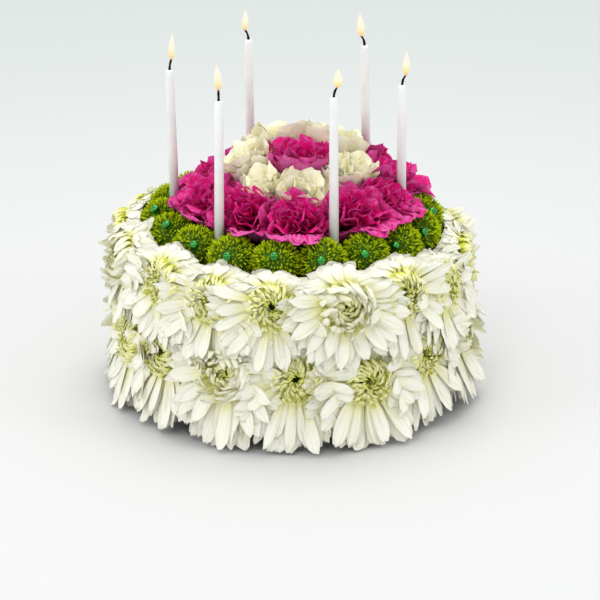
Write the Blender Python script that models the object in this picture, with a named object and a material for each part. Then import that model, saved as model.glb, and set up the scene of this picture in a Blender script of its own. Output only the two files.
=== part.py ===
"""A birthday cake arranged from flowers, with six candles.

A drum of floral foam carries two rows of white chrysanthemum heads round its side, a ring of green
button flowers on its shoulder, and carnations over its domed top: a ring of magenta ones, a ring of
cream ones and one magenta in the middle. The candles stand in sockets in the foam, in the hollows
between the green flowers.

Metres, +Z up. The origin is the centre of the drum's flat base. Angles are counted round the cake
from the front (-Y) towards +X.
"""

from dataclasses import dataclass
from math import cos, pi, radians, sin, sqrt, tau

import bmesh
import bpy
from mathutils import Vector

GAP = 0.0004  # between neighbouring solids

# The foam drum, turned: a flat base, an upright side, a flat shoulder and a dome
DRUM_RADIUS = 0.0876
DRUM_STEPS = 36
DRUM_EDGE = 0.0030  # chamfer at the foot
SHOULDER_HEIGHT = 0.0896
SHOULDER_EDGE = 0.0055  # chamfer at the shoulder
DOME_RADIUS = 0.060
DOME_TOP = 0.1175
DOME_RINGS = 5

# White chrysanthemums, in two rows
MUM_PER_ROW = 16
MUM_BACK_RADIUS = DRUM_RADIUS + GAP  # where the backs of the heads touch the drum
MUM_DEPTH = 0.020  # from the back to the middle of the face
MUM_REACH = 0.031  # petal length from the middle of the head
MUM_PETALS = 14
MUM_NOTCH = 0.83  # depth of the notches between petals, as a share of the petal's reach
# Each row: height, angle of the first head, how much lower the right side hangs than the middle, petal
# length upwards and downwards, slope of the face, how far the topmost petals lean back, and the heads
# that sit a few degrees and millimetres off their even places
MUM_UPPER = {
    "height": 0.0880, "first_angle": -5.4, "fall": 0.004,
    "up": 0.020, "down": 0.038, "tilt": 0.17, "lean": 0.003,
    "nudges": {
        0: (-1.2, -0.0018), 1: (-1.2, 0.0022), 2: (-1.6, 0.0030),
        3: (-5.0, -0.0020), 14: (4.0, 0.0), 15: (2.5, -0.0022),
    },
}
MUM_LOWER = {
    "height": 0.0450, "first_angle": 2.3, "fall": 0.0,
    "up": 0.030, "down": 0.043, "tilt": 0.20, "lean": 0.002,
    "nudges": {
        0: (-1.2, -0.0016), 1: (-1.1, -0.0034), 2: (0.0, 0.0018),
        3: (0.0, 0.0036), 13: (-3.0, 0.0), 14: (-5.5, 0.0022),
    },
}
MUM_SWAY = 0.0018  # how far a head's face leans from its back
DRAPE_ANGLE = 48.0  # the upper row hangs in front of the lower one along planes at this slope
DRAPE_SETBACK = 0.008
FLOOR_GAP = 0.0006  # lowest petals stay this far above the base plane

# Green button flowers, in a ring on the shoulder
POM_COUNT = 18
POM_RING_RADIUS = 0.076
POM_RADIUS = 0.014
POM_HEIGHT = SHOULDER_HEIGHT + GAP + POM_RADIUS
POM_FIRST_ANGLE = 13.0
POM_PER_ARC = 6
POM_STATIONS = (-0.5, -0.28, 0.0, 0.28)  # sections along each flower, as shares of the pitch
POM_SIDES = 10
POM_PRESS_TILT = 35.0  # carnations lean on the flowers along planes at this slope

# Carnations: angle round the ring, then the ring's own sizes; rise lifts the back and lowers the front
MAGENTA_ANGLES = (-1, 37, 69, 98, 130, 158, 188, 219, 250, 286, 322)
MAGENTA_RING = {
    "centre_x": 0.0036, "radius": 0.054, "height": 0.125, "rise": 0.001, "tilt": 40.0, "reach": 0.0275,
}
CREAM_ANGLES = (2, 76, 139, 202, 265, 319)
CREAM_RING = {
    "centre_x": 0.0042, "radius": 0.0315, "height": 0.1360, "rise": 0.0080, "tilt": 25.0, "reach": 0.025,
}
MIDDLE_RING = {
    "centre_x": 0.0042, "radius": 0.0, "height": 0.1405, "rise": 0.0, "tilt": 0.0, "reach": 0.026,
}
CARNATION_RUFFLES = 8
CALYX_RADIUS = 0.005

# Candles: angle round the ring, height of the wax, how far the top leans sideways, wick's bend
CANDLE_CENTRE_X = -0.0024
CANDLE_RING_RADIUS = 0.0673
CANDLES = (
    {"angle": -97, "top": 0.1938, "lean": -0.0026, "wick_angle": 60},
    {"angle": -36.2, "top": 0.1936, "lean": 0.0006, "wick_angle": 95},
    {"angle": 23, "top": 0.1981, "lean": -0.0008, "wick_angle": 10},
    {"angle": 83, "top": 0.1894, "lean": -0.0009, "wick_angle": 5},
    {"angle": 134, "top": 0.1978, "lean": -0.0030, "wick_angle": 180},
    {"angle": 199.5, "top": 0.1968, "lean": -0.0017, "wick_angle": 170},
)
CANDLE_FOOT = 0.0700  # height of the foot, inside its socket
CANDLE_FOOT_RADIUS = 0.0030
CANDLE_TOP_RADIUS = 0.0025
CANDLE_SIDES = 10
WICK_RADIUS = 0.00055
WICK_LENGTH = 0.0070
SOCKET_RADIUS = CANDLE_FOOT_RADIUS + GAP
SOCKET_ROD_TOP = 0.125  # the rods that cut the sockets also part the green flowers round the candles

FOAM_GREEN = (0.075, 0.135, 0.050)
PETAL_WHITE = (0.86, 0.87, 0.80)
BUTTON_GREEN = (0.25, 0.42, 0.045)
PETAL_MAGENTA = (0.60, 0.015, 0.22)
PETAL_CREAM = (0.85, 0.81, 0.60)
WAX_WHITE = (0.88, 0.88, 0.86)


@dataclass
class Head:
    """One flower head: the middle of its back, the way the back faces, and the middle of its face."""

    name: str
    back: Vector
    out: Vector
    face: Vector
    reach: float
    phase: float
    drapes: bool = False  # its petals hang in front of the row below

    @property
    def side(self):
        level = Vector((-self.out.y, self.out.x, 0))
        return level.normalized() if level.length > 0.01 else Vector((1, 0, 0))

    @property
    def up(self):
        return self.out.cross(self.side)

    @property
    def depth(self):
        return (self.face - self.back).dot(self.out)

    def middle(self, depth):
        """A point on the head's own, slightly leaning, axis."""
        return self.back + (self.face - self.back) * (depth / self.depth)


def clear_scene():
    for old in list(bpy.data.objects):
        bpy.data.objects.remove(old, do_unlink=True)


def round_the_cake(radius, degrees, height, centre_x=0.0):
    angle = radians(degrees)
    return Vector((centre_x + radius * sin(angle), -radius * cos(angle), height))


def make_material(name, colour, roughness):
    material = bpy.data.materials.new(name)
    material.use_nodes = True
    shader = material.node_tree.nodes["Principled BSDF"]
    shader.inputs["Base Color"].default_value = (*colour, 1.0)
    shader.inputs["Roughness"].default_value = roughness
    shader.inputs["Metallic"].default_value = 0.0
    return material


def add_object(name, bm, material, smooth_angle):
    """A bmesh as a named, smooth-shaded object."""
    bmesh.ops.recalc_face_normals(bm, faces=bm.faces)
    mesh = bpy.data.meshes.new(name)
    bm.to_mesh(mesh)
    bm.free()
    mesh.shade_smooth()
    mesh.set_sharp_from_angle(angle=radians(smooth_angle))
    mesh.materials.append(material)
    made = bpy.data.objects.new(name, mesh)
    bpy.context.scene.collection.objects.link(made)
    return made


def loft(rings):
    """A closed surface through rings of points. A ring may hold one point, or twice its neighbour's."""
    bm = bmesh.new()
    made = [[bm.verts.new(point) for point in ring] for ring in rings]
    for first, second in zip(made, made[1:]):
        few, many = sorted((first, second), key=len)
        for i in range(len(few)):
            here, after = few[i], few[(i + 1) % len(few)]
            if len(few) == 1:
                for j in range(len(many)):
                    bm.faces.new((here, many[j], many[(j + 1) % len(many)]))
            elif len(few) == len(many):
                following = (i + 1) % len(many)
                bm.faces.new((here, after, many[following], many[i]))
            else:
                before, middle, beyond = (many[(2 * i + k) % len(many)] for k in range(3))
                bm.faces.new((here, before, middle))
                bm.faces.new((here, middle, after))
                bm.faces.new((after, middle, beyond))
    for end in (made[0], made[-1]):
        if len(end) > 2:
            bm.faces.new(end)
    return bm


# ---------------------------------------------------------------- flower heads


def mum_row(name, row):
    """One row of chrysanthemum heads, each facing straight out, its face swayed a little."""
    heads = []
    for k in range(MUM_PER_ROW):
        turn, lift = row["nudges"].get(k, (0.0, 0.0))
        angle = row["first_angle"] + k * 360 / MUM_PER_ROW + turn
        height = row["height"] - row["fall"] * sin(radians(angle)) + lift
        back = round_the_cake(MUM_BACK_RADIUS, angle, height)
        out = round_the_cake(1, angle, 0)
        head = Head(f"{name}_{k + 1:02d}", back, out, back, MUM_REACH, k * 0.37, row is MUM_UPPER)
        sway = MUM_SWAY * (sin(2.4 * k) * head.side + cos(3.7 * k) * head.up)
        head.face = back + head.out * MUM_DEPTH + sway
        heads.append(head)
    return heads


def dome_height(point):
    """Height of the foam's dome under a point."""
    share = min(point.xy.length / DOME_RADIUS, 1.0)
    return DOME_TOP - (DOME_TOP - SHOULDER_HEIGHT) * share**2


def seat_on_dome(head):
    """Sets a carnation's back straight behind its face, pushed in until its calyx meets the foam."""
    turns = [k * tau / CARNATION_RUFFLES for k in range(CARNATION_RUFFLES)]
    rim = [CALYX_RADIUS * (cos(a) * head.side + sin(a) * head.up) for a in turns]
    head.back = head.face.copy()
    while all((head.back + r).z > dome_height(head.back + r) + 2 * GAP for r in rim):
        head.back -= head.out * GAP / 2


def carnation_ring(name, angles, ring):
    """Carnations round a ring, each tilted outwards; a ring of radius 0 is the single middle one."""
    heads = []
    for k, angle in enumerate(angles):
        height = ring["height"] - ring["rise"] * cos(radians(angle))
        face = round_the_cake(ring["radius"], angle, height, ring["centre_x"])
        out = round_the_cake(sin(radians(ring["tilt"])), angle, cos(radians(ring["tilt"])))
        label = name if len(angles) == 1 else f"{name}_{k + 1:02d}"
        head = Head(label, face, out, face, ring["reach"], k * 0.61)
        seat_on_dome(head)
        heads.append(head)
    return heads


def is_mum(head):
    return head.reach == MUM_REACH


def plane_between(head, other):
    """The plane that shares the space between two heads in step with their sizes: (normal, offset).

    Between the two rows of chrysanthemums it slopes, so that the upper ones hang in front.
    """
    towards = other.face - head.face
    share = (towards.length_squared + head.reach**2 - other.reach**2) / (2 * towards.length)
    normal = towards.normalized()
    point = head.face + normal * share
    if head.drapes != other.drapes and is_mum(head) and is_mum(other):
        outwards = (head.out + other.out).normalized()
        slope = radians(DRAPE_ANGLE) * (1 if head.drapes else -1)
        normal = (normal * cos(slope) - outwards * sin(slope)).normalized()
        point -= outwards * DRAPE_SETBACK
    return normal, normal.dot(point) - GAP / 2


def plane_off(centre, away, distance):
    """The plane that keeps a head the given distance from a centre, on the side that away points to."""
    normal = -away.normalized()
    return normal, normal.dot(centre) - distance


def cell_of(head, heads, on_top):
    """The planes that a head's petals stay inside, so that no two solids meet."""
    planes = [
        plane_between(head, other)
        for other in heads
        if other is not head and (other.face - head.face).length < head.reach + other.reach + 0.012
    ]
    for k in range(POM_COUNT):
        angle = POM_FIRST_ANGLE + k * 360 / POM_COUNT
        centre = round_the_cake(POM_RING_RADIUS, angle, POM_HEIGHT)
        if (centre - head.face).length > head.reach + 2 * POM_RADIUS:
            continue
        away = head.face - centre
        if on_top:
            tilt = radians(POM_PRESS_TILT)
            away = round_the_cake(-sin(tilt), angle, cos(tilt))
        planes.append(plane_off(centre, away, POM_RADIUS + GAP))
    if on_top:
        for candle in CANDLES:
            centre = candle_axis(candle, head.face.z)
            away = (head.face - centre) * Vector((1, 1, 0))
            if away.length < head.reach + 0.01:
                planes.append(plane_off(centre, away, CANDLE_FOOT_RADIUS + 2 * GAP))
    else:
        planes.append((Vector((0, 0, -1)), -FLOOR_GAP))
    return planes


def reach_inside(middle, direction, wanted, planes):
    """How far a point may go from the middle along a direction before it meets a plane of the cell."""
    for normal, offset in planes:
        slope = normal.dot(direction)
        if slope > 1e-6:
            wanted = min(wanted, (offset - normal.dot(middle)) / slope)
    return wanted


def head_ring(head, planes, count, depth, radius_at, lift_at=None, notch=1.0):
    """A ring of points round a head's axis. Every second one is drawn in by the notch."""
    ring = []
    for i in range(count):
        angle = head.phase + i * tau / count
        direction = cos(angle) * head.side + sin(angle) * head.up
        middle = head.middle(depth + (lift_at(angle, i) if lift_at else 0.0))
        far = reach_inside(middle, direction, radius_at(angle), planes)
        ring.append(middle + direction * far * (notch if i % 2 else 1.0))
    return ring


def chrysanthemum(head, planes, row, material):
    """Back disc, notched ring of petal tips, throat, crown of inner petals, dimpled middle."""

    def tip_reach(angle):
        far = row["up"] if sin(angle) > 0 else row["down"]
        return head.reach + (far - head.reach) * sin(angle) ** 2

    def slope_at(reach_at):
        return lambda angle, i: -row["tilt"] * sin(angle) * reach_at(angle)

    def tip_depth(angle, i):
        lean = row["lean"] * max(0.0, sin(angle)) ** 2
        return slope_at(tip_reach)(angle, i) - lean + (0.0015 if i % 2 else 0.0)

    def throat(angle):
        return 0.0155

    def crown(angle):
        return 0.0105

    rings = (
        [head.back],
        head_ring(head, planes, MUM_PETALS, 0.0, lambda a: 0.010),
        head_ring(head, planes, 2 * MUM_PETALS, 0.0165, tip_reach, tip_depth, MUM_NOTCH),
        head_ring(head, planes, MUM_PETALS, 0.0195, throat, slope_at(throat)),
        head_ring(head, planes, MUM_PETALS, 0.0245, crown, slope_at(crown)),
        [head.middle(0.0205)],
    )
    return add_object(head.name, loft(rings), material, 40)


def carnation(head, planes, material):
    """Calyx, skirt of outer petals, ruffled rim, ruffled inner ring, tuft."""
    depth = head.depth
    count = 2 * CARNATION_RUFFLES
    reach = head.reach

    def ruffle(height):
        return lambda angle, i: height if i % 2 else -height

    rings = (
        [head.back],
        head_ring(head, planes, CARNATION_RUFFLES, 0.0, lambda a: CALYX_RADIUS),
        head_ring(head, planes, CARNATION_RUFFLES, 0.55 * depth, lambda a: 0.8 * reach),
        head_ring(head, planes, count, depth - 0.004, lambda a: reach, ruffle(0.0018), 0.92),
        head_ring(head, planes, count, depth + 0.0035, lambda a: 0.60 * reach, ruffle(-0.0016), 0.88),
        head_ring(head, planes, CARNATION_RUFFLES, depth + 0.0065, lambda a: 0.26 * reach),
        [head.middle(depth + 0.0045)],
    )
    return add_object(head.name, loft(rings), material, 30)


# ---------------------------------------------------------------- green button flowers


def pom_arc(name, first, rods, material):
    """Button flowers pressed side by side: a string of rounded bodies along an arc of the ring."""
    pitch = tau / POM_COUNT
    end_trim = GAP / 2 / POM_RING_RADIUS / pitch
    places = [k + share for k in range(POM_PER_ARC) for share in POM_STATIONS]
    places[0] += end_trim
    places.append(POM_PER_ARC - 0.5 - end_trim)
    rings = []
    for place in places:
        turn = radians(POM_FIRST_ANGLE) + (first + place) * pitch
        along = 2 * POM_RING_RADIUS * sin(abs(place - round(place)) * pitch / 2)
        radius = sqrt(POM_RADIUS**2 - along**2)
        outwards = Vector((sin(turn), -cos(turn), 0))
        centre = outwards * POM_RING_RADIUS + Vector((0, 0, POM_HEIGHT))
        rings.append([
            centre + radius * (cos(a) * outwards + Vector((0, 0, sin(a))))
            for a in (i * tau / POM_SIDES + pi / 2 for i in range(POM_SIDES))
        ])
    arc = add_object(name, loft(rings), material, 40)
    cut_with(arc, rods)
    return arc


# ---------------------------------------------------------------- candles and foam


def candle_axis(candle, height):
    """The middle of a candle at a height, with its lean."""
    share = (height - CANDLE_FOOT) / (candle["top"] - CANDLE_FOOT)
    point = round_the_cake(CANDLE_RING_RADIUS, candle["angle"], height, CANDLE_CENTRE_X)
    point.x += candle["lean"] * share
    return point


def level_ring(centre, radius, count):
    return [centre + radius * Vector((cos(a), sin(a), 0)) for a in (i * tau / count for i in range(count))]


def candle_solid(name, candle, material):
    """A slim taper with a rounded top and a wick that bends over."""
    top = candle["top"]
    bend = Vector((cos(radians(candle["wick_angle"])), sin(radians(candle["wick_angle"])), 0))
    tip = candle_axis(candle, top)
    stages = (
        (candle_axis(candle, CANDLE_FOOT), CANDLE_FOOT_RADIUS),
        (candle_axis(candle, top - 0.0008), CANDLE_TOP_RADIUS),
        (tip, 0.62 * CANDLE_TOP_RADIUS),
        (tip, WICK_RADIUS),
        (tip + Vector((0, 0, 0.55 * WICK_LENGTH)) + bend * 0.0002, WICK_RADIUS),
        (tip + Vector((0, 0, 0.85 * WICK_LENGTH)) + bend * 0.0010, WICK_RADIUS),
        (tip + Vector((0, 0, WICK_LENGTH)) + bend * 0.0022, 0.7 * WICK_RADIUS),
    )
    rings = [level_ring(centre, radius, CANDLE_SIDES) for centre, radius in stages]
    return add_object(name, loft(rings), material, 40)


def socket_rod(name, candle):
    """A rod that cuts a candle's socket."""
    heights = (CANDLE_FOOT - GAP, SOCKET_ROD_TOP)
    bm = loft([level_ring(candle_axis(candle, height), SOCKET_RADIUS, CANDLE_SIDES) for height in heights])
    bmesh.ops.recalc_face_normals(bm, faces=bm.faces)
    mesh = bpy.data.meshes.new(name)
    bm.to_mesh(mesh)
    bm.free()
    rod = bpy.data.objects.new(name, mesh)
    rod.hide_render = True
    rod.display_type = "WIRE"
    bpy.context.scene.collection.objects.link(rod)
    return rod


def cut_with(solid, rods):
    for rod in rods:
        cut = solid.modifiers.new(rod.name, "BOOLEAN")
        cut.operation = "DIFFERENCE"
        cut.solver = "EXACT"
        cut.object = rod


def foam_drum(rods, material):
    """The turned drum, with a socket for each candle."""
    profile = [
        (DRUM_RADIUS - DRUM_EDGE, 0.0),
        (DRUM_RADIUS, DRUM_EDGE),
        (DRUM_RADIUS, SHOULDER_HEIGHT - SHOULDER_EDGE),
        (DRUM_RADIUS - SHOULDER_EDGE, SHOULDER_HEIGHT),
    ]
    for k in range(DOME_RINGS):
        radius = DOME_RADIUS * (1 - k / DOME_RINGS)
        profile.append((radius, dome_height(Vector((radius, 0, 0)))))
    rings = [level_ring(Vector((0, 0, height)), radius, DRUM_STEPS) for radius, height in profile]
    rings.append([Vector((0, 0, DOME_TOP))])
    drum = add_object("foam_drum", loft(rings), material, 30)
    cut_with(drum, rods)
    return drum


def build():
    clear_scene()
    white = make_material("white_petals", PETAL_WHITE, 0.55)
    magenta = make_material("magenta_petals", PETAL_MAGENTA, 0.6)
    cream = make_material("cream_petals", PETAL_CREAM, 0.6)
    green = make_material("green_buttons", BUTTON_GREEN, 0.65)
    wax = make_material("candle_wax", WAX_WHITE, 0.35)
    foam = make_material("floral_foam", FOAM_GREEN, 0.95)

    upper = mum_row("white_mum_upper", MUM_UPPER)
    lower = mum_row("white_mum_lower", MUM_LOWER)
    magentas = carnation_ring("magenta_carnation", MAGENTA_ANGLES, MAGENTA_RING)
    middle = carnation_ring("middle_carnation", (0,), MIDDLE_RING)
    creams = carnation_ring("cream_carnation", CREAM_ANGLES, CREAM_RING)
    heads = upper + lower + magentas + middle + creams

    rods = [socket_rod(f"socket_rod_{k + 1}", candle) for k, candle in enumerate(CANDLES)]
    foam_drum(rods, foam)
    for row, sizes in ((upper, MUM_UPPER), (lower, MUM_LOWER)):
        for head in row:
            chrysanthemum(head, cell_of(head, heads, on_top=False), sizes, white)
    for group, material in ((magentas, magenta), (middle, magenta), (creams, cream)):
        for head in group:
            carnation(head, cell_of(head, heads, on_top=True), material)
    for k in range(POM_COUNT // POM_PER_ARC):
        pom_arc(f"green_button_arc_{k + 1}", k * POM_PER_ARC + 1, rods, green)
    for k, candle in enumerate(CANDLES):
        candle_solid(f"candle_{k + 1}", candle, wax)


build()
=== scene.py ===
# %% [markdown]
# # A birthday cake made of flowers
#
# The cake is a drum of floral foam dressed with real flowers: white chrysanthemums round the side,
# small green button flowers on the rim, and carnations over the top, with six slim candles. The
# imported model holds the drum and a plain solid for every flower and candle. This lesson grows the
# petals that stand for those solids. A flower has many petals of one kind, so each kind of petal is
# modelled once and then grown many times, each time a little differently.

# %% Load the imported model
from dataclasses import dataclass
from math import cos, pi, radians, sin, tau

import bpy
import numpy as np
from mathutils import Matrix, Vector


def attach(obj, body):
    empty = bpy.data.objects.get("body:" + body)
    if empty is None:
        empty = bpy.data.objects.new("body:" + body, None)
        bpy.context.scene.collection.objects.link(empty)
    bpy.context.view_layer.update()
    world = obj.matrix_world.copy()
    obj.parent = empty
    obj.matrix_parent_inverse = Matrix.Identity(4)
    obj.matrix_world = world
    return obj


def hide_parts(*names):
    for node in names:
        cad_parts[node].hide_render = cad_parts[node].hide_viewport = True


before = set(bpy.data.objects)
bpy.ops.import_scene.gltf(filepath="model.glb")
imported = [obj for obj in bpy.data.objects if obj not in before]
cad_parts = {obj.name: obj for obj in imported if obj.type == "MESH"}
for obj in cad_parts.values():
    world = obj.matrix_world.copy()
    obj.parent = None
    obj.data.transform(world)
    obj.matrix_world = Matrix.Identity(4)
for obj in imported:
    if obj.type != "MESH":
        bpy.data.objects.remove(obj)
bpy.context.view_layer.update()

# %% [markdown]
# ## Where the flowers are
#
# Every flower has a middle of its back, a direction it faces, and a middle of its face. The rings
# below have the same sizes as the solid model, in metres: angles are counted round the cake from
# the front towards the right.

# %% The rings of flowers
def table(fields, *rows):
    """Rows of values as dicts, under the names in fields."""
    return [dict(zip(fields.split(), row)) for row in rows]


MUM_PER_ROW = 16
MUM_BACK_RADIUS = 0.0880
MUM_DEPTH = 0.020
MUM_SWAY = 0.0018
MUM_REACH = 0.031
MUM_UPPER, MUM_LOWER = table(
    "height first_angle fall nudges",  # nudges turn and lift single heads
    (0.0880, -5.4, 0.004, {0: (-1.2, -0.0018), 1: (-1.2, 0.0022), 2: (-1.6, 0.0030),
                           3: (-5.0, -0.0020), 14: (4.0, 0.0), 15: (2.5, -0.0022)}),
    (0.0450, 2.3, 0.0, {0: (-1.2, -0.0016), 1: (-1.1, -0.0034), 2: (0.0, 0.0018),
                        3: (0.0, 0.0036), 13: (-3.0, 0.0), 14: (-5.5, 0.0022)}),
)

BUTTON_COUNT = 18
BUTTON_RING_RADIUS = 0.076
BUTTON_RADIUS = 0.014
BUTTON_HEIGHT = 0.1040
BUTTON_FIRST_ANGLE = 13.0
BUTTONS_PER_ARC = 6

CARNATION_DEPTH = 0.024
MAGENTA_ANGLES = (-1, 37, 69, 98, 130, 158, 188, 219, 250, 286, 322)
CREAM_ANGLES = (2, 76, 139, 202, 265, 319)
MAGENTA_RING, CREAM_RING, MIDDLE_RING = table(
    "centre_x radius height rise tilt reach",
    (0.0036, 0.0540, 0.1250, 0.0010, 40.0, 0.0275),
    (0.0042, 0.0315, 0.1360, 0.0080, 25.0, 0.0250),
    (0.0042, 0.0, 0.1405, 0.0, 0.0, 0.0260),
)

CANDLE_CENTRE_X = -0.0024
CANDLE_RING_RADIUS = 0.0673
CANDLE_FOOT = 0.0700
CANDLE_FOOT_RADIUS = 0.0030
CANDLE_TOP_RADIUS = 0.0025
WICK_LENGTH = 0.0070
CANDLES = table(
    "angle top lean wick_angle flame_height flame_radius",
    (-97, 0.1938, -0.0026, 60, 0.0165, 0.0021),
    (-36.2, 0.1936, 0.0006, 95, 0.0159, 0.0024),
    (23, 0.1981, -0.0008, 10, 0.0112, 0.0030),
    (83, 0.1894, -0.0009, 5, 0.0153, 0.0024),
    (134, 0.1978, -0.0030, 180, 0.0147, 0.0026),
    (199.5, 0.1968, -0.0017, 170, 0.0134, 0.0022),
)
print("buttons:", BUTTON_COUNT, "candles:", len(CANDLES))


# %% One flower head
def round_the_cake(radius, degrees, height, centre_x=0.0):
    angle = radians(degrees)
    return Vector((centre_x + radius * sin(angle), -radius * cos(angle), height))


@dataclass
class Head:
    """One flower head. side, up and out are its own right, top and front."""

    node: str
    back: Vector
    out: Vector
    face: Vector
    reach: float

    @property
    def side(self):
        level = Vector((-self.out.y, self.out.x, 0))
        return level.normalized() if level.length > 0.01 else Vector((1, 0, 0))

    @property
    def up(self):
        return self.out.cross(self.side)


# %% All the heads
def mum_row(name, row):
    heads = []
    for k in range(MUM_PER_ROW):
        turn, lift = row["nudges"].get(k, (0.0, 0.0))
        angle = row["first_angle"] + k * 360 / MUM_PER_ROW + turn
        height = row["height"] - row["fall"] * sin(radians(angle)) + lift
        back = round_the_cake(MUM_BACK_RADIUS, angle, height)
        head = Head(f"{name}_{k + 1:02d}", back, round_the_cake(1, angle, 0), back, MUM_REACH)
        sway = MUM_SWAY * (sin(2.4 * k) * head.side + cos(3.7 * k) * head.up)
        head.face = back + head.out * MUM_DEPTH + sway
        heads.append(head)
    return heads


def carnation_ring(name, angles, ring):
    heads = []
    for k, angle in enumerate(angles):
        height = ring["height"] - ring["rise"] * cos(radians(angle))
        face = round_the_cake(ring["radius"], angle, height, ring["centre_x"])
        out = round_the_cake(sin(radians(ring["tilt"])), angle, cos(radians(ring["tilt"])))
        node = name if len(angles) == 1 else f"{name}_{k + 1:02d}"
        heads.append(Head(node, face - out * CARNATION_DEPTH, out, face, ring["reach"]))
    return heads


upper_mums = mum_row("white_mum_upper", MUM_UPPER)
lower_mums = mum_row("white_mum_lower", MUM_LOWER)
magenta_heads = carnation_ring("magenta_carnation", MAGENTA_ANGLES, MAGENTA_RING)
middle_heads = carnation_ring("middle_carnation", (0,), MIDDLE_RING)
cream_heads = carnation_ring("cream_carnation", CREAM_ANGLES, CREAM_RING)
top_heads = magenta_heads + middle_heads + cream_heads
print("flower heads:", len(upper_mums + lower_mums + top_heads))

# %% [markdown]
# ## Shader maths as Python
#
# A material's pattern is arithmetic on sockets. The class below wraps a socket, so that an
# expression such as `1 - mask * 0.5` adds its own Math nodes. Every other node comes from one
# method, `node`, which sets the node's settings first and then its inputs.


# %% A socket that takes part in expressions
class Value:
    def __init__(self, finish, socket):
        self.finish = finish
        self.socket = socket

    def math(self, operation, first, second):
        return self.finish.node("ShaderNodeMath", {"operation": operation}, {0: first, 1: second})

    def __add__(self, other):
        return self.math("ADD", self, other)

    def __sub__(self, other):
        return self.math("SUBTRACT", self, other)

    def __rsub__(self, other):
        return self.math("SUBTRACT", other, self)

    def __mul__(self, other):
        return self.math("MULTIPLY", self, other)

    __radd__ = __add__

    def between(self, low, high):
        """0 below low, 1 above high, and smooth between them."""
        inputs = {"Value": self, "From Min": low, "From Max": high}
        return self.finish.node("ShaderNodeMapRange", {"interpolation_type": "SMOOTHSTEP"}, inputs)


# %% A material and its nodes
class Finish:
    """A material: its nodes, and the Principled shader that they feed."""

    def __init__(self, name, **constants):
        self.material = bpy.data.materials.new(name)
        self.material.use_nodes = True
        self.tree = self.material.node_tree
        self.shader = self.tree.nodes["Principled BSDF"]
        for label, value in constants.items():
            self.shader.inputs[label.replace("_", " ")].default_value = value

    def node(self, kind, settings=None, inputs=None, output=0):
        made = self.tree.nodes.new(kind)
        for key, value in (settings or {}).items():
            if key == "stops":
                self.set_stops(made.color_ramp, value)
            else:
                setattr(made, key, value)
        for key, value in (inputs or {}).items():
            self.join(made.inputs[key], value)
        return Value(self, made.outputs[output])

    def set_stops(self, ramp, stops):
        while len(ramp.elements) < len(stops):
            ramp.elements.new(0.5)
        for element, (place, colour) in zip(ramp.elements, stops):
            element.position = place
            element.color = (*colour, 1.0)

    def join(self, socket, value):
        if isinstance(value, Value):
            self.tree.links.new(value.socket, socket)
        else:
            socket.default_value = value

    def feed(self, label, value):
        self.join(self.shader.inputs[label], value)

    def mix(self, share, first, second):
        """Two colours mixed; a plain triple becomes a colour."""
        first, second = ((*c, 1.0) if isinstance(c, tuple) else c for c in (first, second))
        settings = {"data_type": "RGBA"}
        return self.node("ShaderNodeMix", settings, {0: share, 6: first, 7: second}, output=2)

    def noise(self, scale, detail=3.0, vector=None):
        inputs = {"Scale": scale, "Detail": detail, "Roughness": 0.55}
        inputs["Vector"] = vector or self.node("ShaderNodeTexCoord", output=3)
        return self.node("ShaderNodeTexNoise", None, inputs)

    def bump(self, height, strength, distance):
        inputs = {"Height": height, "Strength": strength, "Distance": distance}
        self.feed("Normal", self.node("ShaderNodeBump", None, inputs))


# %% [markdown]
# ## What a petal knows about itself
#
# Petals are coloured along their own length, so a pattern on plain coordinates would not do. Every
# petal mesh carries an attribute with four numbers per point: how far along the petal it is, how
# far across, a number drawn for that petal, and which layer of the flower it belongs to. A second
# attribute says whether the point is on the petal's back.


# %% Read the petal's numbers
def petal_map(finish):
    """(along, across, chance, layer, behind), each as a Value."""
    made = finish.node("ShaderNodeAttribute", {"attribute_name": "petal"})
    layer = Value(finish, made.socket.node.outputs["Alpha"])
    parts = finish.node("ShaderNodeSeparateColor", None, {0: made}).socket.node.outputs
    behind = finish.node("ShaderNodeAttribute", {"attribute_name": "behind"}, output=2)
    return (*(Value(finish, part) for part in parts), layer, behind)


def lengthwise(finish, along, across, chance, lines):
    """Noise drawn out along the petal: the fine lines that run from its foot to its tip."""
    inputs = {"X": across * lines, "Y": along * 1.4, "Z": chance * 50.0}
    return finish.noise(1.0, 3.0, finish.node("ShaderNodeCombineXYZ", None, inputs))


# %% [markdown]
# ## White petals
#
# A chrysanthemum petal is white with fine lengthwise lines and turns greenish yellow towards its
# foot. The short petals of the button go from green in the middle to cream at the outside, round a
# small dark green hollow, whose dark is partly painted shade. Petals are thin and let light
# through, so the shader scatters light under the surface. The warm yellow in the gaps between
# petals is
# painted shade: the lower rounds, and the long edges of the petals near their feet, are painted
# yellower and darker, so that the gaps do not go grey.

# %% White petals
WHITE = (0.965, 0.96, 0.86)
# painted shade: the warm colour of the lower rounds, which lie deep beneath the others
WHITE_DEPTH_SHADE = (0.93, 0.91, 0.66)
WHITE_LINE = (0.78, 0.75, 0.42)
# painted shade: the thin dark lines along the long edges, where petals overlap
WHITE_EDGE_SHADE = (0.72, 0.70, 0.38)
WHITE_FOOT = (0.88, 0.87, 0.13)
BUTTON_TIP = (0.99, 0.98, 0.46)
BUTTON_TIP_INNER = (0.93, 0.97, 0.15)
BUTTON_FOOT = (0.76, 0.79, 0.04)
BUTTON_FOOT_INNER = (0.30, 0.46, 0.003)
# the hollow of an open button: its own dark green, darkened further as painted shade
HEART_GREEN_AND_SHADE = (0.025, 0.065, 0.002)


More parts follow.
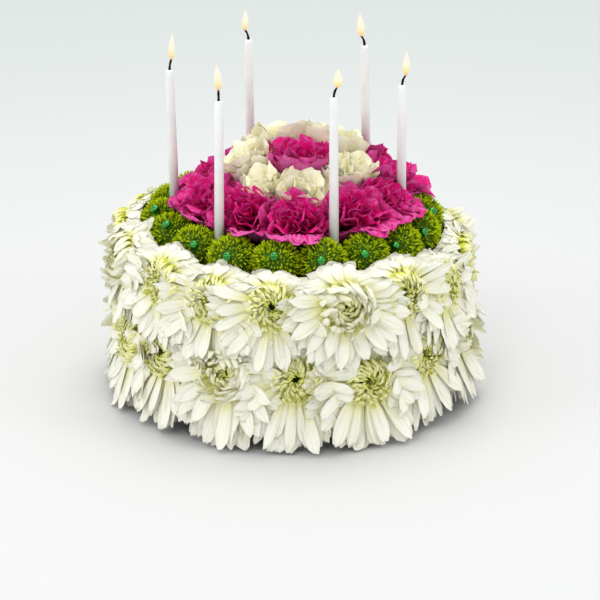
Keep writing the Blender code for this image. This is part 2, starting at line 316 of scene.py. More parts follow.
def white_petals():
    finish = Finish("white_petals", Roughness=0.55, Specular_IOR_Level=0.2, Subsurface_Weight=0.30,
                    Subsurface_Scale=0.0008, Subsurface_Radius=(1.0, 1.0, 0.9))
    along, across, chance, layer, _ = petal_map(finish)
    lines = lengthwise(finish, along, across, chance, 11.0)
    foot = 1 - along.between(0.14, 0.70)
    # Painted shade: the lower rounds lie beneath the others, so away from their tips they are
    # painted yellower, as the deep gaps between petals look.
    under = (1 - layer.between(0.02, 0.28)) * (1 - along.between(0.55, 0.95))
    body = finish.mix(under * 0.5, WHITE, WHITE_DEPTH_SHADE)
    body = finish.mix(foot * (0.70 + chance * 0.3), body, WHITE_FOOT)
    body = finish.mix(lines.between(0.46, 0.66) * 0.6, body, WHITE_LINE)
    # Painted shade: the long edges of a petal, away from its tip and outside the button, are
    # darkened like the thin lines where petals overlap.
    edge = ((across - 0.5) * (across - 0.5) * 4).between(0.55, 1.0)
    edge = edge * (1 - along.between(0.70, 0.92)) * (1 - layer.between(0.34, 0.42))
    body = finish.mix(edge * 0.6, body, WHITE_EDGE_SHADE)
    inner = layer.between(0.62, 0.98)
    tips = finish.mix(inner, BUTTON_TIP, BUTTON_TIP_INNER)
    feet = finish.mix(inner, BUTTON_FOOT, BUTTON_FOOT_INNER)
    button = finish.mix(along.between(0.30, 0.72), feet, tips)
    colour = finish.mix(layer.between(0.46, 0.52), body, button)
    # The innermost ring of an open button is darkened towards the hollow: partly its own dark
    # green, partly painted shade.
    colour = finish.mix(layer.between(0.90, 0.94) * 0.6, colour, HEART_GREEN_AND_SHADE)
    finish.feed("Base Color", colour)
    finish.bump(lines, 0.6, 0.0006)
    return finish.material


white_finish = white_petals()
print("finish:", white_finish.name)

# %% [markdown]
# ## Carnation petals
#
# A carnation petal is darkest and most saturated inside the flower, partly its own colour and
# partly painted shade, and paler along its frilled rim, partly its own colour and partly painted
# highlight where the frills catch the light.
# The backs of the outer petals are paler still, almost lavender on the magenta ones. One recipe
# serves both colours.


# %% Carnation petals
def carnation_petals(name, throat_and_shade, body, rim, back, relief, **scatter):
    finish = Finish(name, Roughness=0.62, Specular_IOR_Level=0.18, **scatter)
    along, across, chance, layer, behind = petal_map(finish)
    lines = lengthwise(finish, along, across, chance, 14.0)
    cloud = finish.noise(330.0, 4.0)
    # The deep colour inside the flower is partly the petal's own, partly painted shade where the
    # petals lie in each other's shadow.
    colour = finish.mix(along.between(0.30, 0.85), throat_and_shade, body)
    outer = 1 - layer.between(0.05, 0.60)
    paler = outer * along.between(0.30, 0.9) * (0.10 + behind * 0.60 + chance * 0.45)
    colour = finish.mix(paler, colour, back)
    colour = finish.mix(lines.between(0.48, 0.72) * 0.6, colour, throat_and_shade)
    # The paler rim is partly the petal's own colour, partly painted highlight where the frilled
    # edges catch the light.
    colour = finish.mix(along.between(0.80, 1.0) * cloud.between(0.42, 0.66), colour, rim)
    finish.feed("Base Color", colour)
    finish.bump(lines * 0.6 + cloud, relief, 0.0010)
    return finish.material


magenta_finish = carnation_petals(
    "magenta_petals",
    throat_and_shade=(0.36, 0.0, 0.055),
    body=(0.75, 0.001, 0.200),
    rim=(0.78, 0.10, 0.39),
    back=(0.78, 0.14, 0.47),
    relief=0.9,
    Subsurface_Weight=0.15, Subsurface_Scale=0.0015, Subsurface_Radius=(1.0, 0.1, 0.5),
)
cream_finish = carnation_petals(
    "cream_petals",
    throat_and_shade=(0.98, 0.89, 0.36),
    body=(1.0, 0.968, 0.71),
    rim=(1.0, 0.985, 0.87),
    back=(1.0, 0.975, 0.79),
    relief=0.45,
    Subsurface_Weight=0.15, Subsurface_Scale=0.001, Subsurface_Radius=(1.0, 1.0, 0.7),
)
print("finishes:", magenta_finish.name, cream_finish.name)

# %% [markdown]
# ## Green finishes
#
# Button florets are yellow-green at the tip and dark at the foot: partly their own deeper green,
# partly painted shade deep in the ball. The cups that hold the petals, and the cores of the button
# flowers, are plain leaf green, dark where no light reaches them. One recipe of soft patches serves
# for these and for all later finishes without a direction.


# %% Green finishes
def button_florets():
    finish = Finish("green_florets", Roughness=0.65, Specular_IOR_Level=0.05,
                    Subsurface_Weight=0.15, Subsurface_Scale=0.001,
                    Subsurface_Radius=(1.0, 1.0, 0.1))
    along, _, chance, *_ = petal_map(finish)
    # The dark foot is partly the floret's own deeper green, partly painted shade between the
    # florets deep in the ball.
    body = finish.mix(along.between(0.20, 0.95), (0.060, 0.13, 0.0005), (0.44, 0.60, 0.004))
    body = finish.mix(chance * along * 0.60, body, (0.68, 0.76, 0.025))
    finish.feed("Base Color", body)
    finish.bump(finish.noise(1500.0, 2.0), 0.3, 0.0002)
    return finish.material


def patchy(name, dark, light, grain, relief, depth, span=None, **constants):
    """Soft patches of two colours, as fine as grain is high, that also stand in relief."""
    finish = Finish(name, **constants)
    patches = finish.noise(*grain)
    finish.feed("Base Color", finish.mix(patches.between(*span) if span else patches, dark, light))
    finish.bump(patches, relief, depth)
    return finish.material


def leaf_green(name, dark, light):
    return patchy(name, dark, light, (700.0, 3.0), 0.4, 0.0003, (0.3, 0.7), Roughness=0.8,
                  Specular_IOR_Level=0.25)


floret_finish = button_florets()
cup_finish = leaf_green("flower_cup_green", (0.020, 0.045, 0.002), (0.05, 0.10, 0.005))
core_finish = leaf_green("button_core_green", (0.05, 0.12, 0.003), (0.10, 0.21, 0.008))
print("finishes:", floret_finish.name, cup_finish.name, core_finish.name)

# %% [markdown]
# ## A blank petal
#
# Small parts are shaped as by hand: a primitive is added, faces are selected by their place, and
# they are extruded, inset and scaled.
#
# A petal is a thin leaf with a front and a back that meet in a fine edge. It could be a flat sheet
# with a Solidify modifier, but that gives every petal a blunt rim. Here a grid is extruded into two
# layers and its rims are welded together, so the edge is as fine as a real one. The blank is flat:
# each flower bends it into its own petals. It records, for each point, how far along the petal it
# is (0 to 1), how far across (-1 to 1), its column, and its face (1 front, -1 back, 0 on the rim).

# %% Tools for shaping by hand
def start_from(add, **settings):
    """A new primitive, with nothing else selected."""
    bpy.ops.object.select_all(action="DESELECT")
    add(**settings)
    return bpy.context.object


def select_only(pieces):
    bpy.ops.object.select_all(action="DESELECT")
    for piece in pieces:
        piece.select_set(True)
    bpy.context.view_layer.objects.active = pieces[0]


def coat(piece, material):
    """Gives a piece this material and no other."""
    piece.data.materials.clear()
    piece.data.materials.append(material)


def select_faces(shape, wanted):
    """Edit mode, with only the faces selected for which wanted(face) is true."""
    bpy.context.tool_settings.mesh_select_mode = (False, False, True)
    bpy.ops.object.mode_set(mode="EDIT")
    bpy.ops.mesh.select_all(action="DESELECT")
    bpy.ops.object.mode_set(mode="OBJECT")
    for polygon in shape.data.polygons:
        polygon.select = wanted(polygon)
    bpy.ops.object.mode_set(mode="EDIT")


def extrude_up(step):
    bpy.ops.mesh.extrude_region_move(TRANSFORM_OT_translate={"value": (0, 0, step)})


def smoothed(shape):
    """The shape, back in object mode and shaded smooth."""
    bpy.ops.object.mode_set(mode="OBJECT")
    shape.data.shade_smooth()
    return shape


# %% The blank petal
TIP_CROWDING = 1.5  # rows lie closer together towards the tip


@dataclass
class Blank:
    along: np.ndarray
    across: np.ndarray
    column: np.ndarray
    face: np.ndarray
    quads: np.ndarray


def read_blank(leaf, columns):
    """The leaf's points and quads as arrays."""
    points = np.array([vertex.co[:] for vertex in leaf.data.vertices])
    quads = np.array([polygon.vertices[:] for polygon in leaf.data.polygons])
    along = 1 - (1 - points[:, 1]) ** TIP_CROWDING / 2**TIP_CROWDING
    column = np.rint((points[:, 0] + 1) / 2 * columns).astype(int)
    return Blank(along, points[:, 0], column, np.round(10 * points[:, 2] - 1), quads)


def make_blank(rows, columns):
    """A closed two-faced leaf of rows by columns cells."""
    leaf = start_from(bpy.ops.mesh.primitive_grid_add, x_subdivisions=columns, y_subdivisions=rows,
                      size=2)
    bpy.ops.object.mode_set(mode="EDIT")
    bpy.ops.mesh.select_all(action="SELECT")
    extrude_up(0.2)
    bpy.ops.object.mode_set(mode="OBJECT")
    for vertex in leaf.data.vertices:
        if max(abs(vertex.co.x), abs(vertex.co.y)) > 0.999:
            vertex.co.z = 0.1
    bpy.ops.object.mode_set(mode="EDIT")
    bpy.ops.mesh.select_all(action="SELECT")
    bpy.ops.mesh.remove_doubles(threshold=0.001)
    bpy.ops.mesh.normals_make_consistent(inside=False)
    bpy.ops.object.mode_set(mode="OBJECT")
    blank = read_blank(leaf, columns)
    bpy.data.objects.remove(leaf, do_unlink=True)
    return blank


wide_blank = make_blank(5, 4)
narrow_blank = make_blank(4, 2)
frilled_blank = make_blank(5, 12)
floret_blank = make_blank(3, 2)
for blank in (wide_blank, narrow_blank, frilled_blank, floret_blank):
    print("blank:", len(blank.along), "points,", len(blank.quads), "quads")

# %% [markdown]
# ## Growing petals
#
# A layer of a flower is a ring of petals that share one recipe. All petals of a layer are worked
# out at once with numpy: first the outline of the leaf, then its bend along an arc, then its place
# round the flower's own axis. The results of all layers are joined into one mesh.


# %% Small helpers for numbers
def smooth_step(x):
    x = np.clip(x, 0.0, 1.0)
    return x * x * (3 - 2 * x)


def column(values):
    """One number per petal, ready to combine with one number per point."""
    return np.asarray(values, float)[:, None]


def spread(random, count, amount):
    """One number per petal between -amount and amount."""
    return column(random.uniform(-amount, amount, count))


def around(random, count, disorder):
    """Angles evenly round a flower, uneven by a share of the step from petal to petal."""
    turn = column((np.arange(count) + random.uniform()) * tau / count)
    return turn + spread(random, count, disorder * tau / count)


def per_column(random, count, blank):
    """One number between -1 and 1 for each petal and column, given to all points of the column."""
    return random.uniform(-1, 1, (count, blank.column.max() + 1))[:, blank.column]


# %% Bend and place
def bend_and_place(x, y, z, rise, curl, start, height, turn):
    """Leaves in their own axes (across, along, off) set round a flower: (petals, points, 3).

    rise is the angle at which a petal leaves the flower's face, curl is how much it turns further
    towards the axis by its tip, start and height are where its foot is.
    """
    length = np.maximum(np.abs(y).max(axis=1, keepdims=True), 1e-6)
    curl = np.where(np.abs(curl) < 0.02, 0.02, curl)
    radius = length / curl
    swing = y / radius
    radial = radius * np.sin(swing) - z * np.sin(swing)
    axial = radius * (1 - np.cos(swing)) + z * np.cos(swing)
    outwards = start + radial * np.cos(rise) - axial * np.sin(rise)
    lift = height + radial * np.sin(rise) + axial * np.cos(rise)
    east = x * np.cos(turn) - outwards * np.sin(turn)
    north = x * np.sin(turn) + outwards * np.cos(turn)
    return np.stack([east, north, lift], axis=-1)


def twist_leaf(x, z, angle):
    """Turns a leaf about its own length."""
    return x * np.cos(angle) - z * np.sin(angle), x * np.sin(angle) + z * np.cos(angle)


# %% Bunches of petals
@dataclass
class Bunch:
    """Petals ready to become a mesh: points, quads, their numbers, which are backs, and the rim."""

    points: np.ndarray
    quads: np.ndarray
    map: np.ndarray
    behind: np.ndarray
    rim: np.ndarray


def gather(random, blank, points, layer):
    """A (petals, points, 3) block as a bunch, with a chance drawn for each petal."""
    count, size = points.shape[:2]
    chance = column(random.uniform(0, 1, count))
    quads = blank.quads[None] + (np.arange(count) * size)[:, None, None]
    layers = [np.broadcast_to(a, (count, size)) for a in (
        blank.along[None], (blank.across[None] + 1) / 2, chance, layer)]
    behind = np.tile((blank.face < 0).astype(float), count)
    rim = np.tile(blank.face == 0, count)
    numbers = np.stack(layers, -1).reshape(-1, 4)
    return Bunch(points.reshape(-1, 3), quads.reshape(-1, 4), numbers, behind, rim)


def combine(bunches):
    """Several bunches as one."""
    starts = np.cumsum([0] + [len(bunch.points) for bunch in bunches[:-1]])
    quads = np.concatenate([bunch.quads + start for bunch, start in zip(bunches, starts)])
    names = ("points", "map", "behind", "rim")
    rest = {name: np.concatenate([getattr(bunch, name) for bunch in bunches]) for name in names}
    return Bunch(quads=quads, **rest)


# %% Make a piece from a bunch
def fill_mesh(mesh, bunch):
    mesh.vertices.add(len(bunch.points))
    mesh.vertices.foreach_set("co", bunch.points.astype(np.float32).ravel())
    mesh.loops.add(bunch.quads.size)
    mesh.loops.foreach_set("vertex_index", bunch.quads.astype(np.int32).ravel())
    mesh.polygons.add(len(bunch.quads))
    mesh.polygons.foreach_set("loop_start", np.arange(0, bunch.quads.size, 4, dtype=np.int32))
    mesh.update(calc_edges=True)


def add_attributes(mesh, bunch):
    """The petal's numbers for the shader, and its rim as a sharp edge."""
    ends = np.empty(2 * len(mesh.edges), np.int32)
    mesh.edges.foreach_get("vertices", ends)
    sharp = bunch.rim[ends.reshape(-1, 2)].all(axis=1)
    mesh.attributes.new("sharp_edge", "BOOLEAN", "EDGE")
    mesh.attributes["sharp_edge"].data.foreach_set("value", sharp)
    mesh.attributes.new("petal", "FLOAT_COLOR", "POINT")
    mesh.attributes["petal"].data.foreach_set("color", bunch.map.astype(np.float32).ravel())
    mesh.attributes.new("behind", "FLOAT", "POINT")
    mesh.attributes["behind"].data.foreach_set("value", bunch.behind.astype(np.float32))


def add_piece(name, bunch, material, slot, *nodes):
    """A bunch as a smooth mesh that rides on the root and stands for its CAD nodes."""
    mesh = bpy.data.meshes.new(name)
    fill_mesh(mesh, bunch)
    add_attributes(mesh, bunch)
    mesh.shade_smooth()
    mesh.materials.append(material)
    piece = bpy.data.objects.new(name, mesh)
    bpy.context.scene.collection.objects.link(piece)
    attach(piece, "root")
    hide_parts(*nodes)
    return piece


# %% [markdown]
# ## Room between the flowers
#
# The heads are packed so closely that their petals meet. Each pair of neighbours shares the space
# between them along a plane. A petal that goes past it is pressed back a little and stands up, or
# slips under its neighbour, as petals do when flowers are pushed together. Nothing goes into the
# foam, the ring of buttons, a candle or the floor.


# %% Press the petals into the room they have
def to_world(head, points):
    axes = np.array([head.side, head.up, head.out])
    sway = np.array(head.face - head.back) / (head.face - head.back).dot(head.out)
    flat = points.copy()
    flat[:, 2] = 0.0
    return np.array(head.back) + flat @ axes + points[:, 2:3] * sway


NEIGHBOUR_GAP = 0.012  # heads further apart than this don't touch


def press_between(points, head, heads, yield_share, lift):
    """Moves what is past the shared planes back by yield_share, and outwards by lift."""
    for other in heads:
        towards = other.face - head.face
        if other is head or towards.length > head.reach + other.reach + NEIGHBOUR_GAP:
            continue
        share = (towards.length_squared + head.reach**2 - other.reach**2) / (2 * towards.length)
        normal = np.array(towards.normalized())
        past = np.maximum(0.0, (points - np.array(head.face)) @ normal - share)[:, None]
        points = points - past * normal * yield_share + past * np.array(head.out) * lift
    return points


# %% Keep clear of what does not give
def ring_swell(offset, clearance):
    """How far the ring of buttons, taken as a round bar, swells at an offset from its middle."""
    return np.sqrt(np.maximum(0.0, (BUTTON_RADIUS + clearance) ** 2 - offset**2))


def keep_outside_ring(points, clearance):
    """Side petals stay outside the ring of buttons and off the foam's side."""
    radius = np.hypot(points[:, 0], points[:, 1])
    level = points[:, 2] - BUTTON_HEIGHT
    beside = np.abs(level) < BUTTON_RADIUS + clearance
    least = np.where(beside, BUTTON_RING_RADIUS + ring_swell(level, clearance), 0.0)
    least = np.maximum(least, np.where(level < -BUTTON_RADIUS, MUM_BACK_RADIUS, 0.0))
    scale = np.maximum(1.0, least / np.maximum(radius, 1e-6))
    return np.column_stack([points[:, 0] * scale, points[:, 1] * scale, points[:, 2]])


def keep_above_floor(points, floor=0.0005, soft=0.006):
    """Petals that would reach the floor slide out along it."""
    low = points[:, 2] - floor
    lifted = soft * np.exp(np.minimum(low, soft) / soft - 1)
    height = np.where(low < soft, lifted, low) + floor
    return np.column_stack([points[:, 0], points[:, 1], height])


# %% Keep clear of the candles
def candle_middle(candle, height):
    share = (height - CANDLE_FOOT) / (candle["top"] - CANDLE_FOOT)
    point = round_the_cake(CANDLE_RING_RADIUS, candle["angle"], height, CANDLE_CENTRE_X)
    point.x += candle["lean"] * share
    return point


def part_round_candles(points, clearance=0.0003, width=1.5):
    """Pushes what would stand in a candle out of it, sideways, and what is close by a little."""
    least = CANDLE_FOOT_RADIUS + clearance
    for candle in CANDLES:
        foot, top = (np.array(candle_middle(candle, z)) for z in (CANDLE_FOOT, candle["top"]))
        share = np.clip((points[:, 2] - CANDLE_FOOT) / (candle["top"] - CANDLE_FOOT), 0, 1)[:, None]
        axis = foot * (1 - share) + top * share
        away = (points - axis)[:, :2]
        distance = np.hypot(away[:, 0], away[:, 1])
        pushed = least + distance * (width - 1) / width
        factor = np.where(distance < least * width, pushed / np.maximum(distance, 1e-6), 1.0)
        points = np.column_stack([axis[:, :2] + away * factor[:, None], points[:, 2]])
    return points


print("candle feet:", [candle_middle(candle, CANDLE_FOOT).to_tuple(4) for candle in CANDLES[:2]])

# %% [markdown]
# ## Chrysanthemums
#
# A head has four rounds of long, grooved petals, and old broad ones behind them. They spread like
# a shallow bowl round a button of short petals that hook in over a dark green hollow. Not all
# heads are alike: most lie open, others are fuller, with broad pointed petals that whorl round a
# heart without a hollow.


# %% A long petal
MUM_SHEET = 0.00016  # half the thickness of a petal
GROOVE = 0.0003  # depth of the two grooves along a petal
SHINGLE = 0.12  # each petal is turned a little about its length, so one edge lies on its neighbour


def mum_leaf(random, blank, count, length, width, point, groove, cup):
    """A long petal: a narrow foot, even sides and an end from round (0) to pointed (1)."""
    u, v = blank.along[None], blank.across[None]
    round_end = np.sqrt(1 - 0.80 * (np.maximum(0.0, u - 0.70) / 0.30) ** 2.4)
    sharp_end = 1 - 0.90 * (np.maximum(0.0, u - 0.60) / 0.40) ** 1.5
    half = width / 2 * (0.24 + 0.76 * smooth_step(u / 0.8))
    half = half * (round_end * (1 - point) + sharp_end * point)
    x = half * v + spread(random, count, 0.06) * length * u**2
    uneven = per_column(random, count, blank) * 0.11 * width - 0.10 * width * v**2
    y = length * u + uneven * smooth_step((u - 0.6) / 0.4)
    z = cup * half * v**2 - groove * np.sin(pi * v) ** 2 * smooth_step(u * 3)
    flick = spread(random, count, 0.04) * length * smooth_step((u - 0.6) / 0.4) ** 2
    return x, y, z + flick + MUM_SHEET * blank.face[None]


def ring_of_petals(random, manner, count, length, width, rise, curl, start, height, layer, sway):
    """One round of long petals, with lengths, widths and angles a little uneven."""
    blank = wide_blank if length > 0.015 else narrow_blank
    lengths = length * (1 + spread(random, count, 0.13))
    point = np.clip(manner["point"] + spread(random, count, 0.35), 0, 1)
    widths = width * manner["width"] * (1 + spread(random, count, 0.16))
    cup = 0.05 + spread(random, count, 0.14)
    x, y, z = mum_leaf(random, blank, count, lengths, widths, point, GROOVE, cup)
    x, z = twist_leaf(x, z, SHINGLE * sway + spread(random, count, 0.14) * blank.along[None])
    turn = around(random, count, 0.45)
    points = bend_and_place(
        x, y, z, radians(rise * manner["rise"]) + spread(random, count, 0.05),
        radians(curl) + spread(random, count, 0.20), start,
        height + spread(random, count, 0.0006), turn)
    return gather(random, blank, points, layer)


*MUM_ROUNDS, BACKING = table(
    "count length width rise curl start height layer sway",
    (30, 0.0335, 0.0082, 3, -8, 0.004, 0.0098, 0.0, 1),
    (30, 0.0328, 0.0082, 5, -6, 0.004, 0.0108, 0.1, -1),
    (28, 0.0315, 0.0080, 7, -4, 0.004, 0.0118, 0.2, 1),
    (18, 0.0292, 0.0074, 9, -3, 0.005, 0.0126, 0.3, -1),
    (16, 0.0330, 0.0120, -1, 0, 0.004, 0.0060, 0.0, 1),  # broad, behind, to close gaps
)
print("long petals in a head:", sum(recipe["count"] for recipe in MUM_ROUNDS))

# %% The button of short petals
BUTTON_FIELDS = "count start length width rise curl layer swirl"
OPEN_BUTTON = table(
    BUTTON_FIELDS,
    (34, 0.0126, 0.0104, 0.0023, 46, 116, 0.56, 0.2),
    (32, 0.0107, 0.0094, 0.0021, 58, 126, 0.64, 0.2),
    (28, 0.0087, 0.0080, 0.0019, 69, 130, 0.74, 0.2),
    (22, 0.0065, 0.0062, 0.0016, 78, 122, 0.84, 0.2),
    (14, 0.0043, 0.0042, 0.0013, 84, 94, 0.92, 0.2),
)
WHORLED_BUTTON = table(
    BUTTON_FIELDS,
    (26, 0.0125, 0.0160, 0.0048, 40, 104, 0.474, 0.30),
    (24, 0.0106, 0.0140, 0.0042, 52, 118, 0.484, 0.30),
    (22, 0.0086, 0.0114, 0.0032, 63, 126, 0.505, 0.28),
    (18, 0.0064, 0.0086, 0.0020, 74, 126, 0.70, 0.25),
    (12, 0.0042, 0.0058, 0.0015, 83, 104, 0.86, 0.20),
)
MUM_BUTTON_TOP = 0.0141  # height of its foot in the middle of the flower
MUM_BUTTON_EDGE = 0.0112  # by this far from the middle it has fallen
MUM_BUTTON_FALL = 0.0014  # by this much


def mum_button(random, ring):
    """One ring of short petals that rise and hook in over the hollow."""
    count = ring["count"]
    length = ring["length"] * (1 + spread(random, count, 0.16))
    width = ring["width"] * (1 + spread(random, count, 0.14))
    x, y, z = mum_leaf(random, narrow_blank, count, length, width, 0.45, 0.0, 0.7)
    x = x + (ring["swirl"] + spread(random, count, 0.16)) * length * narrow_blank.along[None] ** 2
    turn = column(np.arange(count) * tau / count) + random.uniform() * tau
    turn = turn + spread(random, count, 0.12)
    start = ring["start"] * (1 + spread(random, count, 0.08))
    points = bend_and_place(
        x, y, z, radians(ring["rise"]) + spread(random, count, 0.18),
        radians(ring["curl"]) + spread(random, count, 0.35), start,
        MUM_BUTTON_TOP - MUM_BUTTON_FALL * (start / MUM_BUTTON_EDGE) ** 2, turn)
    return gather(random, narrow_blank, points, ring["layer"])


print("short petals:", [sum(ring["count"] for ring in b) for b in (OPEN_BUTTON, WHORLED_BUTTON)])

# %% A whole head
OPEN, BROAD, WHORLED = table(
    "point width rise button",
    (0.02, 1.00, 1.00, OPEN_BUTTON),
    (0.25, 1.18, 1.15, OPEN_BUTTON),
    (0.55, 1.30, 1.30, WHORLED_BUTTON),
)
MANNERS = (OPEN, WHORLED, OPEN, BROAD, OPEN, WHORLED, BROAD, OPEN)  # in turn round a row


def mum_bunch(seed, manner):
    random = np.random.default_rng(seed)
    rounds = [ring_of_petals(random, manner, **recipe) for recipe in MUM_ROUNDS]
    rounds += [mum_button(random, ring) for ring in manner["button"]]
    return combine(rounds), ring_of_petals(random, OPEN, **BACKING)


BUTTON_SPAN = 0.014  # petals start to hang this far from the middle
CROWN_WIDTH = 0.026  # the crown has sunk this far to the side
CROWN_DIP = 0.24  # the share by which the button's own upper edge sinks there


def hang_petals(points, chance, dress):
    """Turns the face up a little, lets the lower petals hang and draws the upper ones in.

    Petals above the middle keep the share above of their length, less of it towards the sides
    (crown), and lean back, each by its own chance; those below it keep the share below and swing
    out by flare.
    """
    height = points[:, 1]
    past = np.maximum(0.0, np.abs(height) - BUTTON_SPAN)
    aside = dress["crown"] * smooth_step(np.abs(points[:, 0]) / CROWN_WIDTH)
    low = np.minimum(np.abs(height), BUTTON_SPAN) * np.where(height < 0, 1, 1 - CROWN_DIP * aside)
    above = dress["above"] * (1 - aside) * (0.6 + 0.8 * chance)
    kept = low + past * np.where(height < 0, dress["below"], above)
    back = -dress["lean"] * (0.3 + 1.4 * chance)
    lift = -dress["tilt"] * height + np.where(height > 0, back, dress["flare"]) * past
    return np.column_stack([points[:, 0], np.sign(height) * kept, points[:, 2] + lift])


# %% Dress the two rows
UPPER_DRESS, LOWER_DRESS = table(
    "seed below above crown tilt lean flare first_manner levels",
    (1, 1.02, 0.22, 0.90, 0.14, 0.50, 0.04, 0, (3, 4, 3, 2, 1, 0, 1, 2, 1, 0, 1, 2, 1, 0, 1, 2)),
    (2, 1.34, 0.84, 0.0, 0.12, 0.16, 0.20, 2, (3, 4, 3, 2, 1, 0, 2, 1, 0, 1, 2, 1, 0, 1, 0, 2)),
)
BACKING_ABOVE = 0.2  # the backing's upper petals are cut down to this share
LEVEL_STEP = 0.0007  # a head of the next level stands this much further out
GIVE, LIFT = 0.12, -0.09  # how far petals give way at a shared plane, and rise
OVER_GIVE, OVER_LIFT = -0.07, 0.15  # the same, added where a head lies over its neighbour


def dress_mum(k, row, dress):
    head, level = row[k], dress["levels"][k]
    manner = MANNERS[(k + dress["first_manner"]) % len(MANNERS)]
    bunch, backing = mum_bunch(100 * dress["seed"] + k, manner)
    behind = dress | {"above": BACKING_ABOVE * dress["above"]}
    backing.points = to_world(head, hang_petals(backing.points, backing.map[:, 2], behind))
    points = hang_petals(bunch.points, bunch.map[:, 2], dress)
    points[:, 2] += LEVEL_STEP * (level - 2)
    points = to_world(head, points)
    for step in (-1, 1):
        beside = (k + step) % len(row)
        over = np.sign(level - dress["levels"][beside])
        give, lift = GIVE + OVER_GIVE * over, LIFT + OVER_LIFT * over
        points = press_between(points, head, [row[beside]], give, lift)
    bunch.points = points
    bunch = combine([bunch, backing])
    bunch.points = keep_above_floor(keep_outside_ring(bunch.points, 0.0004))
    name = head.node.replace("white_mum", "chrysanthemum")
    return add_piece(name, bunch, white_finish, "white_petals", head.node)


for row, dress in ((upper_mums, UPPER_DRESS), (lower_mums, LOWER_DRESS)):
    for k in range(len(row)):
        piece = dress_mum(k, row, dress)
print("chrysanthemums:", len(upper_mums + lower_mums), "of", len(piece.data.polygons), "faces")

# %% [markdown]
# ## Carnations
#
# A carnation's petals are fans on a narrow foot, with a toothed, frilled edge. The outer ones are
# the largest and lie out over the button flowers; the inner ones stand up and crumple into each
# other. The frill is a wave across the fan, uneven from column to column, that grows towards the
# edge.


# %% A frilled petal
CARNATION_SHEET = 0.00018  # half the thickness of a petal
TOOTH = 0.00065


def carnation_leaf(random, blank, count, length, half_angle, frill):
    u, v = blank.along[None], blank.across[None]
    rim = smooth_step((u - 0.80) / 0.20)
    teeth = per_column(random, count, blank) * TOOTH * rim
    uneven = 1 + 0.08 * np.sin(v * 4.0 + spread(random, count, pi))
    reach = length * u * uneven * (1 - 0.10 * v**2 - 0.16 * v**6) + teeth
    angle = half_angle * v * (0.30 + 0.70 * smooth_step(u / 0.7))
    wave = np.sin(v * 6.5 + spread(random, count, pi)) + 0.8 * per_column(random, count, blank)
    crumple = 0.55 * np.sin(v * 13 + u * 9 + spread(random, count, pi))
    z = frill * (wave + crumple) * smooth_step((u - 0.15) / 0.85) ** 1.1
    return reach * np.sin(angle), reach * np.cos(angle), z + CARNATION_SHEET * blank.face[None]


def carnation_round(
    random, count, length, half_angle, frill, rise, curl, start, height, layer, fold, twist
):
    """One round of frilled petals, folded along their middles and twisted."""
    blank = frilled_blank
    lengths = length * (1 + spread(random, count, 0.10))
    x, y, z = carnation_leaf(random, blank, count, lengths, radians(half_angle), frill)
    z = z + (fold + spread(random, count, 0.25)) * np.abs(x) * smooth_step(blank.along[None] * 2)
    x, z = twist_leaf(x, z, spread(random, count, twist) * blank.along[None])
    turn = around(random, count, 0.35)
    points = bend_and_place(x, y, z, radians(rise) + spread(random, count, 0.14),
                            radians(curl) + spread(random, count, 0.32), start,
                            height + spread(random, count, 0.0010), turn)
    return gather(random, blank, points, layer)


# %% The rounds of a carnation
CARNATION_FIELDS = "count length half_angle frill rise curl start height layer fold twist"
MAGENTA_ROUNDS = table(
    CARNATION_FIELDS,
    (9, 0.0350, 31, 0.0021, 60, -56, 0.0025, 0.0020, 0.0, 0.05, 0.35),
    (9, 0.0328, 32, 0.0024, 68, -50, 0.0022, 0.0030, 0.25, 0.10, 0.45),
    (9, 0.0290, 32, 0.0028, 76, -38, 0.0020, 0.0040, 0.5, 0.20, 0.55),
    (9, 0.0274, 31, 0.0031, 82, -22, 0.0015, 0.0045, 0.75, 0.30, 0.75),
    (8, 0.0260, 30, 0.0032, 88, -6, 0.0010, 0.0050, 1.0, 0.40, 1.0),
)
CREAM_ROUNDS = table(
    CARNATION_FIELDS,
    (7, 0.0322, 42, 0.0016, 62, -54, 0.0025, 0.0020, 0.0, 0.02, 0.12),
    (7, 0.0304, 42, 0.0019, 70, -46, 0.0022, 0.0030, 0.25, 0.06, 0.20),
    (7, 0.0286, 40, 0.0022, 77, -32, 0.0020, 0.0040, 0.5, 0.10, 0.30),
    (6, 0.0268, 37, 0.0024, 83, -16, 0.0015, 0.0045, 0.75, 0.20, 0.45),
    (5, 0.0250, 34, 0.0024, 88, -4, 0.0010, 0.0050, 1.0, 0.30, 0.6),
)
print("petals:", sum(r["count"] for r in MAGENTA_ROUNDS), sum(r["count"] for r in CREAM_ROUNDS))


# %% Carnations on the ring of buttons
MAGENTA_LIFTS = {3: 0.0030, 4: 0.0060}  # two heads at the back right stand up
MAGENTA_SINK = -0.0008  # and the others sit deep
PUSHED_FROM = 0.010  # the outer petals are pushed up from this far out
PUSHED_RISE = 0.66  # by this share of what is further out
INNER_SHARE, INNER_DROP = 0.80, 0.22  # the inner petals are shorter, and fall
FOLD_HEIGHT = 0.0012
SKIRT_RADIUS = 0.0805  # the skirts hardly reach further out than this
LEFT_PULL = 0.010  # and end this much nearer the middle on the left
LEFT_SIDE = 0.030  # which starts this far from the middle


def sit_on_buttons(points, lift):
    """The buttons push the outer half of a magenta head up; its inner half has less room."""
    height = points[:, 1]
    rise = PUSHED_RISE * np.maximum(0.0, -height - PUSHED_FROM)
    raised = points[:, 2] + lift + rise - INNER_DROP * np.maximum(0.0, height)
    kept = np.where(height > 0, INNER_SHARE * height, height)
    return np.column_stack([points[:, 0], kept, raised])


def ring_top(radius, clearance):
    swell = ring_swell(radius - BUTTON_RING_RADIUS, clearance)
    return np.where(swell > 0, BUTTON_HEIGHT + swell, 0.0)


